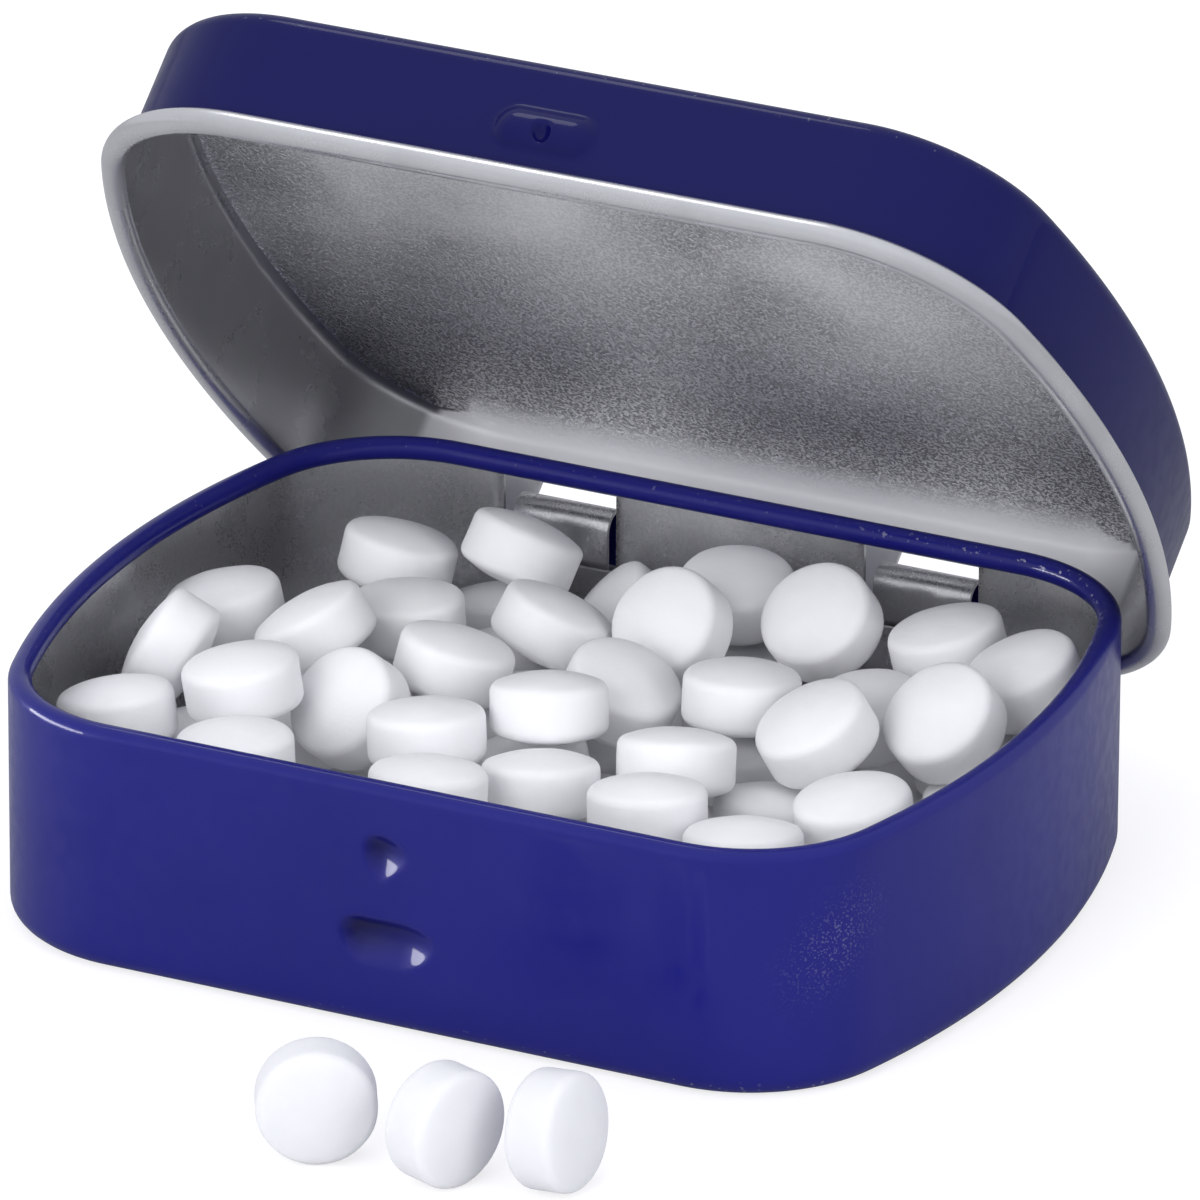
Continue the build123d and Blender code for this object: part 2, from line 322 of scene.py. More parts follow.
@dataclass(frozen=True, kw_only=True)
class Finish:
    """What every finish has: clouds and grain in cells per metre, and a bump."""

    name: str
    cloud_scale: float
    grain_scale: float
    grain_share: float
    bump: float
    bump_depth: float

    def start(self, effects: Effects) -> tuple[Material, NodeGraph, Node, Socket, dict[str, Socket]]:
        """Make a node material with clouds and grain in it.

        Args:
            effects: Shared shader groups.

        Returns:
            The material, its graph, its shader, the object coordinates, and clouds and grain by name.
        """
        material = bpy.data.materials.new(self.name)
        material.use_nodes = True
        graph = NodeGraph(material.node_tree)
        shader = material.node_tree.nodes["Principled BSDF"]
        place = graph.node("ShaderNodeTexCoord").outputs["Object"]
        grain = graph.node(
            "ShaderNodeGroup",
            node_tree=effects.grain,
            Place=place,
            Cloud_Scale=self.cloud_scale,
            Grain_Scale=self.grain_scale,
            Grain_Share=self.grain_share,
        )
        return material, graph, shader, place, {made.name: made for made in grain.outputs}


@dataclass(frozen=True, kw_only=True)
class LacquerFinish(Finish):
    """Glossy blue lacquer on tinplate, with chips, dust in scuffs and painted shade, a dark navy mixed into
    the pressed marks.
    """

    cloud_scale: float = 60.0
    grain_scale: float = 900.0
    grain_share: float = 0.6
    bump: float = 0.025
    bump_depth: float = 0.00003
    # Below 1, painted shade: darkens the colour for a copy of the lacquer that stands where less light falls.
    depth: float = 1.0
    colour: Spot = (0.0087, 0.0097, 0.164)
    deep: Spot = (0.0065, 0.0076, 0.145)
    # Painted shade in the pressed marks: its dark navy colour and its strongest share.
    painted_shade_tone: Colour = (0.002, 0.002, 0.03, 1.0)
    painted_shade_share: float = 0.85
    metal: Colour = grey(0.45, 0.07)
    dust: float = 0.16
    roughness: float = 0.35
    roughness_swing: float = 0.05
    chip_roughness: float = 0.2
    chip_metal: float = 0.9
    coat: float = 0.40
    coat_roughness: float = 0.06
    shine: float = 0.1

    def shade(self, colour: Spot) -> Colour:
        """Colour scaled by the depth factor: below 1 this is painted shade, a darker copy of the lacquer for a
        place where less light falls.
        """
        return colour[0] * self.depth, colour[1] * self.depth, colour[2] * self.depth, 1.0

    def material(self, effects: Effects) -> Material:
        """Build the material.

        Args:
            effects: Shared shader groups.

        Returns:
            The lacquer material.
        """
        material, graph, shader, place, grain = self.start(effects)
        edge = graph.attribute("edge_wear")
        wear = graph.node("ShaderNodeGroup", node_tree=effects.wear, Place=place, Edge=edge).outputs
        chips = wear["Chips"]
        base = graph.mix(grain["Clouds"], self.shade(self.deep), self.shade(self.colour))
        # Painted shade: the dark navy is mixed into the base colour where the marks are pressed in.
        painted_shade_tone = graph.mix(graph.times(graph.attribute("painted_shade"), self.painted_shade_share), base, self.painted_shade_tone)
        dust = graph.times(graph.times(wear["Specks"], graph.attribute("scuff")), self.dust)
        low, high = self.roughness - self.roughness_swing, self.roughness + self.roughness_swing
        rough = graph.ramp(grain["Grain"], 0.3, 0.7, low, high)
        graph.fill(
            shader,
            Base_Color=graph.mix(chips, graph.mix(dust, painted_shade_tone, self.metal), self.metal),
            Roughness=graph.plus(rough, graph.times(chips, self.chip_roughness)),
            Metallic=graph.times(chips, self.chip_metal),
            Coat_Weight=graph.times(graph.minus(1.0, chips, True), self.coat),
            Coat_Roughness=self.coat_roughness,
            Specular_IOR_Level=self.shine,
            Normal=graph.bump(graph.minus(grain["Height"], chips), self.bump, self.bump_depth),
        )
        return material


@dataclass(frozen=True, kw_only=True)
class TinplateFinish(Finish):
    """Bare tinplate: cloudy satin with a fine sparkle; painted light makes it paler, less metallic and rougher
    on the lid panel's raised front and on the lid's lit rear strip.
    """

    cloud_scale: float = 170.0
    grain_scale: float = 5200.0
    grain_share: float = 0.9
    bump: float = 0.04
    bump_depth: float = 0.00003
    bright: Colour = grey(0.70, 0.01)
    dull: Colour = grey(0.58, 0.01)
    smooth: float = 0.24
    rough: float = 0.34
    sparkle: float = 0.3
    flakes: Pair = (0.41, 0.6)
    metallic: float = 0.93
    # Painted light that grows with height: its full share, heights in metres, cloud scale, colour, cover, and
    # the metal and roughness it changes.
    painted_light_haze: float = 0.0
    painted_light_heights: Pair = (0.016, 0.040)
    painted_light_scale: float = 55.0
    painted_light_colour: Colour = grey(0.95, 0.01)
    painted_light_cover: float = 0.85
    painted_light_metal_loss: float = 0.5
    painted_light_blur: float = 0.16
    # Painted light on the lid's lit rear strip: near-white colour, with some metal taken away and roughness
    # added.
    painted_light_strip_colour: Colour = grey(0.95, 0.02)
    painted_light_strip_metal_loss: float = 0.8
    painted_light_strip_blur: float = 0.15

    def painted_light_haze_of(self, graph: NodeGraph, place: Socket) -> Socket:
        """Painted light: a milky, paler tone, less metallic and rougher, that grows in soft clouds with height
        in the photographed pose, so the raised front of the open lid reads brighter.

        Args:
            graph: Graph of the material.
            place: Coordinate socket.

        Returns:
            Share of painted light.
        """
        height = graph.node("ShaderNodeSeparateXYZ", place).outputs["Z"]
        raised = graph.ramp(height, *self.painted_light_heights, 0.0, self.painted_light_haze)
        clouds = graph.ramp(graph.noise(place, self.painted_light_scale, 3.0), 0.3, 0.65, 0.3, 1.0)
        return graph.times(raised, clouds, True)

    def material(self, effects: Effects) -> Material:
        """Build the material.

        Args:
            effects: Shared shader groups.

        Returns:
            The tinplate material.
        """
        material, graph, shader, place, grain = self.start(effects)
        clouds = graph.times(grain["Clouds"], 1.0 - self.sparkle)
        flakes = graph.times(graph.ramp(grain["Grain"], *self.flakes), self.sparkle)
        shade = graph.plus(clouds, flakes)
        painted_light_strip, painted_light_haze = graph.attribute("painted_light_strip"), self.painted_light_haze_of(graph, place)
        clean = graph.mix(shade, self.dull, self.bright)
        # Painted light: the colour turns pale and milky higher up on the open lid.
        with_painted_light = graph.mix(graph.times(painted_light_haze, self.painted_light_cover), clean, self.painted_light_colour)
        # The painted light strip lifts the colour to near white and dulls the metal.
        painted_light_strip_loss = graph.times(painted_light_strip, self.painted_light_strip_metal_loss)
        metal_loss = graph.plus(painted_light_strip_loss, graph.times(painted_light_haze, self.painted_light_metal_loss))
        blur = graph.plus(graph.times(painted_light_strip, self.painted_light_strip_blur), graph.times(painted_light_haze, self.painted_light_blur))
        graph.fill(
            shader,
            Base_Color=graph.mix(painted_light_strip, with_painted_light, self.painted_light_strip_colour),
            Metallic=graph.minus(self.metallic, metal_loss),
            Roughness=graph.plus(graph.ramp(shade, 0.2, 0.8, self.rough, self.smooth), blur),
            Normal=graph.bump(grain["Grain"], self.bump, self.bump_depth),
        )
        return material


@dataclass(frozen=True, kw_only=True)
class MintFinish(Finish):
    """Matte white pressed sugar with a powdery surface, which lets some light through."""

    cloud_scale: float = 500.0
    grain_scale: float = 5000.0
    grain_share: float = 0.7
    bump: float = 0.25
    bump_depth: float = 0.00006
    white: Colour
    chalk: Colour
    smooth: float = 0.5
    rough: float = 0.7
    shine: float = 0.2
    glow_share: float = 0.55
    glow_depth: float = 0.0018

    def material(self, effects: Effects) -> Material:
        """Build the material.

        Args:
            effects: Shared shader groups.

        Returns:
            The mint material.
        """
        material, graph, shader, _, grain = self.start(effects)
        own = graph.times(graph.attribute("mint_shade"), 0.5)
        mixed = graph.plus(graph.times(grain["Clouds"], 0.5), own)
        graph.fill(
            shader,
            Base_Color=graph.mix(mixed, self.chalk, self.white),
            Roughness=graph.ramp(grain["Grain"], 0.3, 0.7, self.smooth, self.rough),
            Subsurface_Weight=self.glow_share,
            Subsurface_Radius=(1.0, 1.0, 1.0),
            Subsurface_Scale=self.glow_depth,
            Specular_IOR_Level=self.shine,
            Normal=graph.bump(grain["Height"], self.bump, self.bump_depth),
        )
        return material


# Drawn sheet, in millimetres


@dataclass(frozen=True)
class Plan:
    """Plan of the tin: straight front and rear, bowed sides, round corners."""

    half_width: float = 30.0
    half_depth: float = 23.6
    corner_radius: float = 9.7
    side_bow_radius: float = 58.0
    arc_step: float = 0.55
    line_step: float = 0.9

    def corner(self) -> tuple[float, float, float]:
        """Find where the corner arcs sit.

        Returns:
            Middle of the rear right corner's arc, and the angle at which it meets the side.
        """
        y = self.half_depth - self.corner_radius
        side_x = self.half_width - self.side_bow_radius
        x = side_x + math.sqrt((self.side_bow_radius - self.corner_radius) ** 2 - y * y)
        return x, y, math.atan2(y, x - side_x)

    def line(self, reach: float, fine: Iterable[float]) -> list[float]:
        """Places along a straight side.

        Args:
            reach: Half the length of the side.
            fine: Places that have to be hit.

        Returns:
            Places from the left to the right end, without the right end.
        """
        count = round(2 * reach / self.line_step)
        wanted = sorted(fine)
        coarse = [-reach + 2 * reach * k / count for k in range(count)]
        kept = [x for x in coarse if all(abs(x - w) > 0.3 * self.line_step for w in wanted)]
        return sorted(set(kept + wanted) | {-reach})

    def stations(self, front: Iterable[float], rear: Iterable[float]) -> tuple[np.ndarray, np.ndarray]:
        """Places round the plan, from the front left corner, seen from above anticlockwise.

        Args:
            front: Places to hit on the front.
            rear: Places to hit on the rear.

        Returns:
            Points and outward normals.
        """
        x, y, turn = self.corner()
        side_x = self.half_width - self.side_bow_radius
        places: list[Facing] = []

        def arc(middle: Pair, radius: float, start: float, end: float) -> None:
            """Add the places of one arc, without its end.

            Args:
                middle: Middle of the arc.
                radius: Its radius.
                start: Angle of the first place.
                end: Angle at which it stops.
            """
            count = max(2, round(abs(end - start) * radius / self.arc_step))
            for k in range(count):
                angle = start + (end - start) * k / count
                cos, sin = math.cos(angle), math.sin(angle)
                places.append((middle[0] + radius * cos, middle[1] + radius * sin, cos, sin))

        half, quarter = math.pi, math.pi / 2
        places.extend((p, -self.half_depth, 0.0, -1.0) for p in self.line(x, front))
        arc((x, -y), self.corner_radius, -quarter, -turn)
        arc((side_x, 0.0), self.side_bow_radius, -turn, turn)
        arc((x, y), self.corner_radius, turn, quarter)
        places.extend((-p, self.half_depth, 0.0, 1.0) for p in self.line(x, rear))
        arc((-x, y), self.corner_radius, quarter, half - turn)
        arc((-side_x, 0.0), self.side_bow_radius, half - turn, half + turn)
        arc((-x, -y), self.corner_radius, half + turn, half + quarter)
        table = np.array(places)
        return table[:, :2], table[:, 2:]


@dataclass(frozen=True)
class Row:
    """One line of the sheet's profile: place and outward normal of its outer face, and wear."""

    reach: float
    height: float
    normal: Pair
    wear: float = 0.0

    def straight(self) -> bool:
        """True where the sheet stands upright."""
        return abs(self.normal[0]) > UPRIGHT


@dataclass(frozen=True)
class Window:
    """Opening in the rear wall."""

    middle: float
    width: float
    foot: float
    top: float

    def sides(self) -> Pair:
        """Left and right side of the opening."""
        return self.middle - self.width / 2, self.middle + self.width / 2


def window_pair(width: float, foot: float, top: float) -> list[Window]:
    """Left and right window of the rear wall, one for each hook."""
    return [Window(side * HOOK_OFFSET, width, foot, top) for side in (-1, 1)]


def arc_rows(
    middle: Pair, radius: float, start: float, end: float, count: int, wear: float = 0.0, sign: int = 1
) -> list[Row]:
    """Rows along an arc of the profile.

    Args:
        middle: Middle of the arc, as reach and height.
        radius: Radius of the outer face.
        start: Angle of the first row in degrees.
        end: Angle of the last row in degrees.
        count: Number of steps.
        wear: Wear at the middle of the arc.
        sign: -1 where the outer face looks towards the middle.

    Returns:
        The rows, both ends included.
    """
    rows = []
    for k in range(count + 1):
        angle = math.radians(start + (end - start) * k / count)
        cos, sin = math.cos(angle), math.sin(angle)
        worn = wear * math.sin(math.pi * k / count)
        rows.append(Row(middle[0] + radius * cos, middle[1] + radius * sin, (sign * cos, sign * sin), worn))
    return rows


def spread(reach: float, step: float) -> list[float]:
    """Even places from -reach to reach, rounded to the micrometre."""
    return [round(float(x), 3) for x in np.arange(-reach, reach + step / 2, step)]


def wall_heights(low: float, high: float, fine: Pair, fine_step: float, exact: Iterable[float]) -> list[float]:
    """Heights of the rows of a wall.

    Args:
        low: Lower end.
        high: Upper end.
        fine: Stretch with fine rows.
        fine_step: Step of the fine rows.
        exact: Heights that have to be hit.

    Returns:
        Rising heights between the ends, without them.
    """
    wanted = sorted(set(exact))
    step = WALL_STEP
    steps = [*np.arange(low + step, high, step), *np.arange(fine[0], fine[1], fine_step)]
    kept: list[float] = []
    for z in sorted(steps):
        gap = 0.7 * (fine_step if fine[0] <= z <= fine[1] else step)
        clear = all(abs(z - w) > 0.5 * gap for w in wanted)
        if clear and low + 0.2 * step < z < high - 0.2 * step and (not kept or z - kept[-1] > gap):
            kept.append(float(z))
    return sorted(kept + wanted)


def soft_cap(distance: float, softness: float = 0.12) -> float:
    """Cross-section of a pressed mark, with a softened rim.

    Args:
        distance: Distance from the mark's middle line, as a share of its half width.
        softness: Share of the depth over which the rim is rounded.

    Returns:
        Share of the full depth.
    """
    rise = 1.0 - distance * distance
    value = (rise + math.sqrt(rise * rise + softness * softness)) / 2
    return value * min(1.0, max(0.0, (1.7 - distance) / 0.5))


def leaning(value: float, lean: float) -> float:
    """Shift the middle of a mark that reaches from -1 to 1 towards 1, both edges kept."""
    return value - lean * (1.0 - value * value) if abs(value) < 1.0 else value


@dataclass(frozen=True)
class Mark:
    """Pressed mark with round ends: height of its middle, length, width and depth."""

    middle: float
    length: float
    width: float
    depth: float

    def distance(self, x: float, z: float) -> float:
        """Distance from the mark's middle line, as a share of its half width."""
        straight = (self.length - self.width) / 2
        return math.hypot(max(abs(x) - straight, 0.0), z - self.middle) / (self.width / 2)

    def leaning_distance(self, x: float, z: float, lean: float, stretch: float) -> float:
        """Distance in a mark that is deepest near its upper left, as a punch held askew leaves it.

        Args:
            x: Place along the wall.
            z: Height.
            lean: Share by which the deepest line moves up and, on a round mark, to the left.
            stretch: Stretch of the right end's curve.

        Returns:
            Distance as a share of the half width.
        """
        half, straight = self.width / 2, (self.length - self.width) / 2
        up = leaning((z - self.middle) / half, lean)
        if straight <= 0.0:
            return math.hypot(leaning(x / half, -lean), up)
        right = self.length / 2 - half * stretch
        across = (x - right) / stretch if x > right else max(-x - straight, 0.0)
        return math.hypot(across / half, up)


class Painter:
    """Says how worn or scuffed a pressing is at a place, and where shade or light is painted on it. Nothing is
    by default.
    """

    def worn_at(self, x: float, y: float) -> float:
        """Share of the rim's wear at a place of the plan."""
        return 0.5

    def scuff_at(self, x: float, y: float, z: float) -> float:
        """Strength of scuffing on the outside."""
        return 0.0

    def painted_shade_at(self, x: float, y: float, z: float) -> float:
        """Share of painted shade on the outside."""
        return 0.0

    def painted_light_strip_at(self, x: float, y: float, z: float) -> float:
        """Share of painted light on the inside."""
        return 0.0


@dataclass
class Pressing:
    """A drawn sheet: one profile carried round the plan, with marks pressed in and windows cut."""

    name: str
    plan: Plan
    sheet: float
    rows: list[Row]
    windows: list[Window]
    press: Callable[[float, float], float]
    fine_front: list[float]
    panel_rows: int
    painter: Painter
    turn: Matrix | None = None

    def points(self) -> tuple[np.ndarray, np.ndarray]:
        """Work out both faces of the sheet.

        Returns:
            Outer points and inner points, each by row and station.
        """
        rear = [-x for window in self.windows for x in window.sides()]
        spots, normals = self.plan.stations(self.fine_front, rear)
        pressed = np.nonzero((normals[:, 1] < FACING_FRONT) & (abs(spots[:, 0]) < PRESSED_REACH))[0]
        outer = np.zeros((len(self.rows), len(spots), 3))
        inner = np.zeros_like(outer)
        for r, row in enumerate(self.rows):
            for face, shift in ((outer, 0.0), (inner, self.sheet)):
                face[r, :, :2] = spots + normals * (row.reach - shift * row.normal[0])
                face[r, :, 2] = row.height - shift * row.normal[1]
            for s in pressed if row.straight() else ():
                depth = self.press(float(spots[s, 0]), row.height)
                outer[r, s, 1] += depth
                inner[r, s, 1] += depth
        return outer, inner

    def hole_mask(self, outer: np.ndarray) -> np.ndarray:
        """Find the cells that the windows take out.

        Args:
            outer: Outer points by row and station.

        Returns:
            True for each cell, by row and station, that is open.
        """
        stations = outer.shape[1]
        open_cells = np.zeros((len(self.rows) - 1, stations), dtype=bool)
        for r, (lower, upper) in enumerate(zip(self.rows, self.rows[1:])):
            middle_z = (lower.height + upper.height) / 2
            for s in range(stations):
                middle_x = (outer[r, s, 0] + outer[r, (s + 1) % stations, 0]) / 2
                behind = outer[r, s, 1] > 0.9 * self.plan.half_depth
                for window in self.windows:
                    low, high = window.sides()
                    hit = low < middle_x < high and window.foot < middle_z < window.top
                    open_cells[r, s] |= lower.straight() and upper.straight() and behind and hit
        return open_cells

    def inner_face(self, row: int) -> Face:
        """Tell panel, wall and rolled rim apart on the inner face.

        Args:
            row: Number of the row.

        Returns:
            The face that the cells above that row belong to.
        """
        if row < self.panel_rows:
            return Face.PANEL
        return Face.INSIDE if row < len(self.rows) - CURL_STEPS else Face.CURL

    def mesh(self) -> bpy.types.Mesh:
        """Build the closed mesh.

        Returns:
            The mesh, in metres, with its place in it, and its wear, scuffs, painted shade and painted light as
            attributes.
        """
        outer, inner = self.points()
        rows, stations = outer.shape[:2]
        open_cells = self.hole_mask(outer)
        made = bmesh.new()
        marks = ("edge_wear", "scuff", "painted_shade", "painted_light_strip")
        wear, scuff, painted_shade, painted_light_strip = (made.verts.layers.float.new(mark) for mark in marks)

        def grid(face: np.ndarray, is_outer: bool) -> list[list[bmesh.types.BMVert]]:
            """Add the vertices of one face of the sheet.

            Args:
                face: Points by row and station.
                is_outer: True for the lacquered face.

            Returns:
                The vertices by row and station.
            """
            lines = []
            for r in range(rows):
                line = []
                for x, y, z in face[r].tolist():
                    vert = made.verts.new(Vector((x, y, z)) * MM)
                    if is_outer:
                        vert[wear] = self.rows[r].wear * self.painter.worn_at(x, y)
                        vert[scuff] = self.painter.scuff_at(x, y, z)
                        vert[painted_shade] = self.painter.painted_shade_at(x, y, z)
                    else:
                        vert[painted_light_strip] = self.painter.painted_light_strip_at(x, y, z)
                    line.append(vert)
                lines.append(line)
            return lines

        def add_face(corners: Sequence[bmesh.types.BMVert], face: Face) -> None:
            """Add one face.

            Args:
                corners: Its corners.
                face: Side of the sheet that it belongs to.
            """
            new = made.faces.new(corners)
            new.material_index = face.value
            new.smooth = face is not Face.CUT_EDGE

        out, ins = grid(outer, True), grid(inner, False)
        for r in range(rows - 1):
            for s in range(stations):
                n = (s + 1) % stations
                if not open_cells[r, s]:
                    add_face((out[r][s], out[r][n], out[r + 1][n], out[r + 1][s]), Face.OUTSIDE)
                    add_face((ins[r][s], ins[r + 1][s], ins[r + 1][n], ins[r][n]), self.inner_face(r))
                    continue
                below, above, left, right = (r - 1, s), (r + 1, s), (r, s - 1), (r, n)
                if not open_cells[below]:
                    add_face((out[r][s], out[r][n], ins[r][n], ins[r][s]), Face.CUT_EDGE)
                if not open_cells[above]:
                    add_face((out[r + 1][s], ins[r + 1][s], ins[r + 1][n], out[r + 1][n]), Face.CUT_EDGE)
                if not open_cells[left]:
                    add_face((out[r][s], ins[r][s], ins[r + 1][s], out[r + 1][s]), Face.CUT_EDGE)
                if not open_cells[right]:
                    add_face((out[r][n], out[r + 1][n], ins[r + 1][n], ins[r][n]), Face.CUT_EDGE)
        for s in range(stations):
            n = (s + 1) % stations
            add_face((out[-1][s], out[-1][n], ins[-1][n], ins[-1][s]), Face.CUT_EDGE)
        add_face(out[0], Face.OUTSIDE)
        add_face(ins[0], Face.PANEL)
        return close_mesh(self.name, made, self.turn)


# Sub-assemblies


@dataclass
class TinBody(Painter):
    """Lower pressing with its rolled rim, front marks and rear windows."""

    plan: Plan = field(default_factory=Plan)
    sheet: float = 0.25
    height: float = 15.2
    edge_radius: float = 1.2
    edge_steps: int = 8
    curl_radius: float = 0.7
    curl_sweep: float = 280.0
    round_mark: Mark = Mark(10.7, 2.9, 2.9, 0.5)
    oval_mark: Mark = Mark(5.4, 6.1, 3.0, 0.6)
    lean: float = 0.3
    stretch: float = 1.6
    window_width: float = 7.4
    window_foot: float = 8.6
    window_top: float = 13.5
    marked_heights: Pair = (3.2, 12.7)
    marked_step: float = 0.18
    marked_reach: float = 4.2
    marked_line_step: float = 0.17
    painted_shade_skin: float = 1.5
    rim_wear_angle: float = 60.0
    scuff: Spot = (26.3, -19.3, 9.3)
    scuff_size: Pair = (2.2, 2.6)
    panel_steps: tuple[float, ...] = (9.0, 6.0, 3.5)
    panel_edge_rows: int = 2

    def press(self, x: float, z: float) -> float:
        """Depth of the pressed marks at a place of the front wall.

        Args:
            x: Place along the wall.
            z: Height.

        Returns:
            Depth, positive into the tin.
        """
        depth = 0.0
        for mark, stretch in ((self.round_mark, 1.0), (self.oval_mark, self.stretch)):
            depth += mark.depth * soft_cap(mark.leaning_distance(x, z, self.lean, stretch))
        return depth

    def profile(self) -> list[Row]:
        """Rows of the profile, from the middle of the floor to the end of the rolled rim.

        Returns:
            The rows.
        """
        wall_top = self.height - self.curl_radius
        rows = [Row(-inset, 0.0, (0.0, -1.0)) for inset in self.panel_steps]
        edge = (-self.edge_radius, self.edge_radius)
        rows += arc_rows(edge, self.edge_radius, -90, 0, self.edge_steps, 0.5)
        exact = (self.window_foot, self.window_top)
        heights = wall_heights(self.edge_radius, wall_top, self.marked_heights, self.marked_step, exact)
        rows += [Row(0.0, z, (1.0, 0.0)) for z in heights]
        curl = arc_rows((-self.curl_radius, wall_top), self.curl_radius, 0, self.curl_sweep, CURL_STEPS)
        rows += [self.worn(row, 180 - 360 * k / CURL_STEPS) for k, row in enumerate(curl)]
        return rows

    def worn(self, row: Row, away: float) -> Row:
        """Row of the rolled rim with more wear the fewer degrees it is away from the inner edge."""
        wear = max(0.0, 1.0 - abs(away) / self.rim_wear_angle)
        return Row(row.reach, row.height, row.normal, wear)

    def worn_at(self, x: float, y: float) -> float:
        """Share of wear round the rim: most at the front right, where fingers reach in."""
        reach = 0.8 * x / self.plan.half_width - 0.2 * y / self.plan.half_depth
        return min(1.0, max(0.2, 0.35 + reach))

    def painted_shade_at(self, x: float, y: float, z: float) -> float:
        """Share of painted shade in the pressed marks, darkest on their upper left, where the hollow faces
        away from the light.

        Args:
            x: Place from left to right.
            y: Place from front to rear.
            z: Height.

        Returns:
            Share between 0 and 1.
        """
        # Painted shade grows with the mark's depth and towards its upper left.
        upper, lower = self.round_mark, self.oval_mark
        if y > self.painted_shade_skin - self.plan.half_depth or abs(x) > lower.length:
            return 0.0
        near = upper if z > (upper.middle + lower.middle) / 2 else lower
        lean = 0.45 + 0.5 * (z - near.middle) / (near.width / 2) - 0.55 * x / (near.length / 2)
        full = min(upper.depth, lower.depth)
        return min(1.0, self.press(x, z) / full) * min(1.0, max(0.0, lean))

    def scuff_at(self, x: float, y: float, z: float) -> float:
        """Strength of the scuffed patch on the front right corner.

        Args:
            x: Place from left to right.
            y: Place from front to rear.
            z: Height.

        Returns:
            Strength between 0 and 1.
        """
        patch_x, patch_y, patch_z = self.scuff
        across, upright = self.scuff_size
        lean = 0.35 * (z - patch_z)
        away = math.hypot(x - patch_x - lean, y - patch_y - lean) / across
        return math.exp(-away * away - ((z - patch_z) / upright) ** 2)

    def build(self, finishes: Sequence[Material]) -> Piece:
        """Build and dress the lower pressing.

        Args:
            finishes: Materials in the order of Face.

        Returns:
            The piece.
        """
        pressing = Pressing(
            name="tin_shell",
            plan=self.plan,
            sheet=self.sheet,
            rows=self.profile(),
            windows=window_pair(self.window_width, self.window_foot, self.window_top),
            press=self.press,
            fine_front=spread(self.marked_reach, self.marked_line_step),
            panel_rows=len(self.panel_steps) + self.panel_edge_rows,
            painter=self,
        )
        piece = add_object(pressing.name, pressing.mesh(), finishes)
        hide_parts("tin_body")
        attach(piece, PRESS_BODY)
        return piece


@dataclass
class Lid(Painter):
    """Upper pressing with its outward rolled rim, thumb grip and rear slots, drawn closed."""

    plan: Plan = field(default_factory=Plan)
    sheet: float = 0.25
    top: float = 15.75
    reach: float = 0.55
    edge_radius: float = 1.2
    edge_steps: int = 9
    curl_radius: float = 0.75
    curl_sweep: float = 300.0
    hinge_height: float = 7.55
    hinge_y: float = 24.65
    open_angle: float = 51.3
    grip: Mark = Mark(11.0, 6.5, 2.8, 0.7)
    pip: Mark = Mark(10.7, 1.3, 1.3, 0.6)
    slot_width: float = 7.0
    slot_top: float = 12.62
    marked_heights: Pair = (8.8, 13.2)
    marked_step: float = 0.16
    pip_reach: float = 1.5
    pip_line_step: float = 0.1
    grip_reach: float = 4.4
    grip_line_step: float = 0.2
    # Where the painted light strip sits on the lid's rear skirt.
    painted_light_strip_start: float = 0.957
    painted_light_strip_reach: float = 27.0
    painted_light_strip_fade: float = 7.0
    panel_steps: tuple[float, ...] = (9.0, 6.0, 3.5)
    panel_edge_rows: int = 3

    def press(self, x: float, z: float) -> float:
        """Depth into the lid, in the closed place: the grip stands out, the pip goes in."""
        out = self.grip.depth * soft_cap(self.grip.distance(x, z))
        return self.pip.depth * soft_cap(self.pip.distance(x, z)) - out

    def profile(self) -> list[Row]:
        """Rows of the profile, from the middle of the panel to the end of the rolled rim.

        Returns:
            The rows.
        """
        shoulder = self.top - self.edge_radius
        rows = [Row(-inset, self.top, (0.0, 1.0)) for inset in self.panel_steps]
        edge = (self.reach - self.edge_radius, shoulder)
        rows += arc_rows(edge, self.edge_radius, 90, 0, self.edge_steps, 0.6)
        exact = (self.slot_top,)
        heights = wall_heights(self.hinge_height, shoulder, self.marked_heights, self.marked_step, exact)
        rows += [Row(self.reach, z, (1.0, 0.0)) for z in reversed(heights)]
        middle = (self.reach - self.sheet + self.curl_radius, self.hinge_height)
        end = 180 + self.curl_sweep
        return rows + arc_rows(middle, self.curl_radius - self.sheet, 180, end, CURL_STEPS, 0.0, -1)

    def painted_light_strip_at(self, x: float, y: float, z: float) -> float:
        """Share of painted light: the rear skirt is painted near white, and made duller and rougher, where
        light falls on it.
        """
        rear = y >= self.painted_light_strip_start * self.plan.half_depth
        return min(1.0, max(0.0, (self.painted_light_strip_reach - abs(x)) / self.painted_light_strip_fade)) if rear else 0.0

    def turn(self) -> Matrix:
        """Turn from the closed place to the photographed one, in metres."""
        hinge = Matrix.Translation(Vector((0.0, self.hinge_y * MM, self.hinge_height * MM)))
        return hinge @ Matrix.Rotation(-math.radians(self.open_angle), 4, "X") @ hinge.inverted()

    def build(self, finishes: Sequence[Material]) -> Piece:
        """Build and dress the upper pressing.

        Args:
            finishes: Materials in the order of Face.

        Returns:
            The piece.
        """
        beyond_pip = self.pip_reach + self.pip_line_step / 2
        far = [x for x in spread(self.grip_reach, self.grip_line_step) if abs(x) > beyond_pip]
        pressing = Pressing(
            name="lid_shell",
            plan=self.plan,
            sheet=self.sheet,
            rows=self.profile(),
            windows=window_pair(self.slot_width, self.hinge_height, self.slot_top),
            press=self.press,
            fine_front=spread(self.pip_reach, self.pip_line_step) + far,
            panel_rows=len(self.panel_steps) + self.panel_edge_rows,
            painter=self,
            turn=self.turn(),
        )
        piece = add_object(pressing.name, pressing.mesh(), finishes)
        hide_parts("lid")
        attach(piece, LID_BODY)
        return piece


